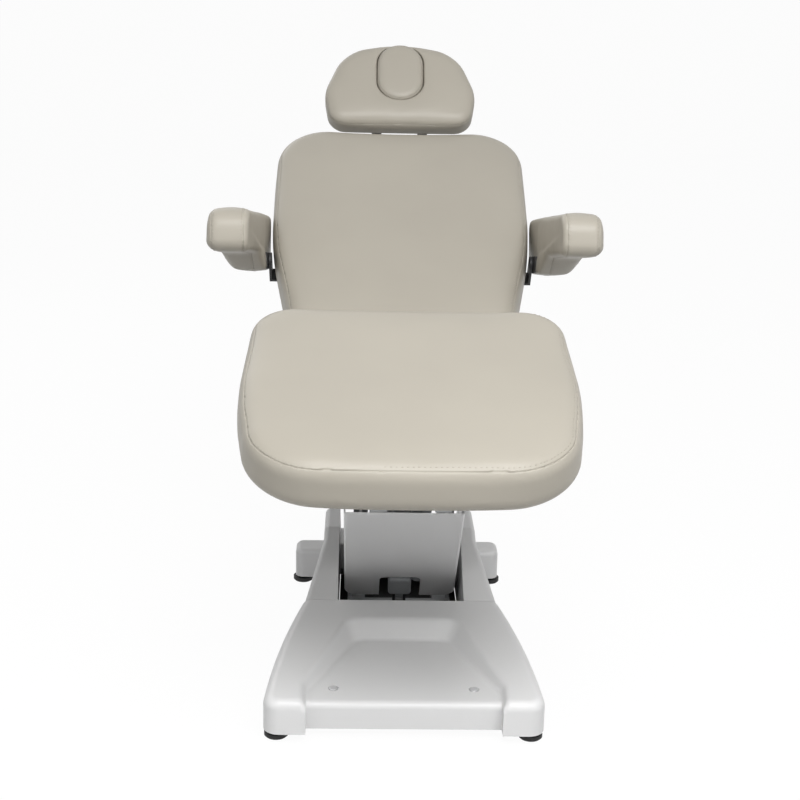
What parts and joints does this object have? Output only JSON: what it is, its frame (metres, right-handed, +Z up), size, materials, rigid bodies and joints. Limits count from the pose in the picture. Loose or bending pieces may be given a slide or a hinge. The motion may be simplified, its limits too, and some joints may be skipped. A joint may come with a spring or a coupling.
{
  "type": "electric beauty chair",
  "caption": "Powered salon treatment chair with lifting base, tilting seat, hinged padded backrest and leg rest, swing-up armrests and a headrest with a removable face-hole plug",
  "frame": {"origin": "centre of the overall box on the floor", "axes": "+Z up, the sitter faces -Y, +X to the right of a viewer looking along +Y at the foot end"},
  "size_m": [0.872, 1.7726, 1.2567],
  "materials": {
    "upholstery": "smooth taupe synthetic leather, top-stitched",
    "board": "plywood with a black backing cloth",
    "white_cover": "satin white moulded plastic",
    "grey_steel": "grey powder coat",
    "black_steel": "black powder coat",
    "bright_steel": "turned steel",
    "drive_grey": "grey moulded plastic",
    "black_plastic": "black moulded plastic",
    "rubber": "black rubber"
  },
  "bodies": {
    "base": {"base_frame": "grey_steel", "base_bracket_left": "grey_steel", "base_bracket_right": "grey_steel", "base_pivot_shafts": "bright_steel", "lift_drive_clevis": "black_plastic", "arm_stop_blocks": "rubber", "control_box": "black_plastic", "mains_inlet": "black_plastic", "front_base_cover": "white_cover", "cover_screws": "bright_steel", "rear_cover_left": "white_cover", "rear_cover_right": "white_cover", "rear_deck_cover": "white_cover"},
    "lift_arm": {"lift_arm_left": "grey_steel", "lift_arm_right": "grey_steel", "arm_bushes": "black_plastic", "arm_cross_tubes": "grey_steel", "lift_drive_pin": "bright_steel", "lift_arm_cover": "white_cover"},
    "upper_link": {"upper_link": "grey_steel"},
    "lift_drive": {"lift_drive": "drive_grey"},
    "lift_rod": {"lift_drive_rod": "bright_steel"},
    "carrier": {"carrier_plate_left": "grey_steel", "carrier_plate_right": "grey_steel", "carrier_shafts": "bright_steel", "tilt_drive": "drive_grey"},
    "tilt_rod": {"tilt_drive_rod": "bright_steel"},
    "seat": {"seat_frame": "grey_steel", "seat_board": "board", "seat_cushion": "upholstery", "leg_hinge_pins": "bright_steel", "back_hinge_pins": "bright_steel", "leg_drive": "drive_grey", "back_drive": "drive_grey"},
    "back_rod": {"back_drive_rod": "bright_steel"},
    "leg_rod": {"leg_drive_rod": "bright_steel"},
    "leg": {"leg_frame": "grey_steel", "leg_board": "board", "leg_cushion": "upholstery"},
    "back": {"back_frame": "grey_steel", "back_board": "board", "back_cushion": "upholstery", "headrest_guides": "black_plastic", "armrest_hinge_left": "black_steel", "armrest_hinge_right": "black_steel"},
    "headrest_post": {"headrest_posts": "bright_steel"},
    "headrest": {"headrest_board": "board", "headrest_cushion": "upholstery", "headrest_brackets": "grey_steel"},
    "face_plug": {"headrest_plug": "upholstery"},
    "armrest_left": {"armrest_pad_left": "upholstery", "armrest_bracket_left": "black_steel"},
    "armrest_right": {"armrest_pad_right": "upholstery", "armrest_bracket_right": "black_steel"},
    "foot_front_left": {"foot_front_left": "rubber"},
    "foot_front_right": {"foot_front_right": "rubber"},
    "foot_rear_left": {"foot_rear_left": "rubber"},
    "foot_rear_right": {"foot_rear_right": "rubber"}
  },
  "joints": [
    {"name": "lift", "type": "hinge", "parent": "base", "child": "lift_arm", "pos_m": [0, -0.08278, 0.104], "axis": [-1, 0, 0], "range_deg": [-21, 22]},
    {"name": "upper_link_turn", "type": "hinge", "parent": "base", "child": "upper_link", "pos_m": [0, -0.01278, 0.174], "axis": [-1, 0, 0], "range_deg": [-21.04, 22.04]},
    {"name": "carrier_level", "type": "hinge", "parent": "lift_arm", "child": "carrier", "pos_m": [0, -0.35812, 0.39415], "axis": [-1, 0, 0], "range_deg": [-22.04, 21.04]},
    {"name": "lift_drive_turn", "type": "hinge", "parent": "base", "child": "lift_drive", "pos_m": [0, -0.12249, 0.07321], "axis": [-1, 0, 0], "range_deg": [-20.67, 21.66]},
    {"name": "lift_rod_slide", "type": "slide", "parent": "lift_drive", "child": "lift_rod", "axis": [0, -0.5037, 0.8639], "range_m": [-0.01745, 0.01827]},
    {"name": "seat_tilt", "type": "hinge", "parent": "carrier", "child": "seat", "pos_m": [0, -0.25312, 0.59615], "axis": [-1, 0, 0], "range_deg": [-14.5, 4]},
    {"name": "tilt_rod_slide", "type": "slide", "parent": "carrier", "child": "tilt_rod", "axis": [0, 0.1857, 0.9826], "range_m": [-0.03034, 0.0084]},
    {"name": "backrest", "type": "hinge", "parent": "seat", "child": "back", "pos_m": [0, 0.07148, 0.60516], "axis": [1, 0, 0], "range_deg": [-46.5, 33]},
    {"name": "back_rod_slide", "type": "slide", "parent": "seat", "child": "back_rod", "axis": [0, 0.9997, -0.0262], "range_m": [-0.0692, 0.04915]},
    {"name": "leg_rest", "type": "hinge", "parent": "seat", "child": "leg", "pos_m": [0, -0.39083, 0.66275], "axis": [1, 0, 0], "range_deg": [-32, 40]},
    {"name": "leg_rod_slide", "type": "slide", "parent": "seat", "child": "leg_rod", "axis": [0, -0.9681, 0.2504], "range_m": [-0.06792, 0.05436]},
    {"name": "headrest_height", "type": "slide", "parent": "back", "child": "headrest_post", "axis": [0, 0.848, 0.5299], "range_m": [0, 0.085]},
    {"name": "headrest_tilt", "type": "hinge", "parent": "headrest_post", "child": "headrest", "pos_m": [0, 0.78977, 0.98797], "axis": [1, 0, 0], "range_deg": [-40, 6]},
    {"name": "face_plug_pull", "type": "slide", "parent": "headrest", "child": "face_plug", "axis": [0, -0.788, 0.6157], "range_m": [0, 0.12]},
    {"name": "armrest_left_swing", "type": "hinge", "parent": "back", "child": "armrest_left", "pos_m": [0, 0.31741, 0.75884], "axis": [-1, 0, 0], "range_deg": [-20, 100]},
    {"name": "armrest_right_swing", "type": "hinge", "parent": "back", "child": "armrest_right", "pos_m": [0, 0.31741, 0.75884], "axis": [-1, 0, 0], "range_deg": [-20, 100]},
    {"name": "foot_front_left_screw", "type": "slide", "parent": "base", "child": "foot_front_left", "axis": [0, 0, 1], "range_m": [-0.012, 0]},
    {"name": "foot_front_right_screw", "type": "slide", "parent": "base", "child": "foot_front_right", "axis": [0, 0, 1], "range_m": [-0.012, 0]},
    {"name": "foot_rear_left_screw", "type": "slide", "parent": "base", "child": "foot_rear_left", "axis": [0, 0, 1], "range_m": [-0.012, 0]},
    {"name": "foot_rear_right_screw", "type": "slide", "parent": "base", "child": "foot_rear_right", "axis": [0, 0, 1], "range_m": [-0.012, 0]}
  ],
  "couplings": [
    {"joint": "upper_link_turn", "follows": "lift", "ratio": 1},
    {"joint": "carrier_level", "follows": "lift", "ratio": -1},
    {"joint": "lift_drive_turn", "follows": "lift", "ratio": 0.9825},
    {"joint": "lift_rod_slide", "follows": "lift", "m_per_rad": 0.0475},
    {"joint": "tilt_rod_slide", "follows": "seat_tilt", "m_per_rad": 0.11975},
    {"joint": "back_rod_slide", "follows": "backrest", "m_per_rad": 0.085125},
    {"joint": "leg_rod_slide", "follows": "leg_rest", "m_per_rad": -0.097112}
  ]
}
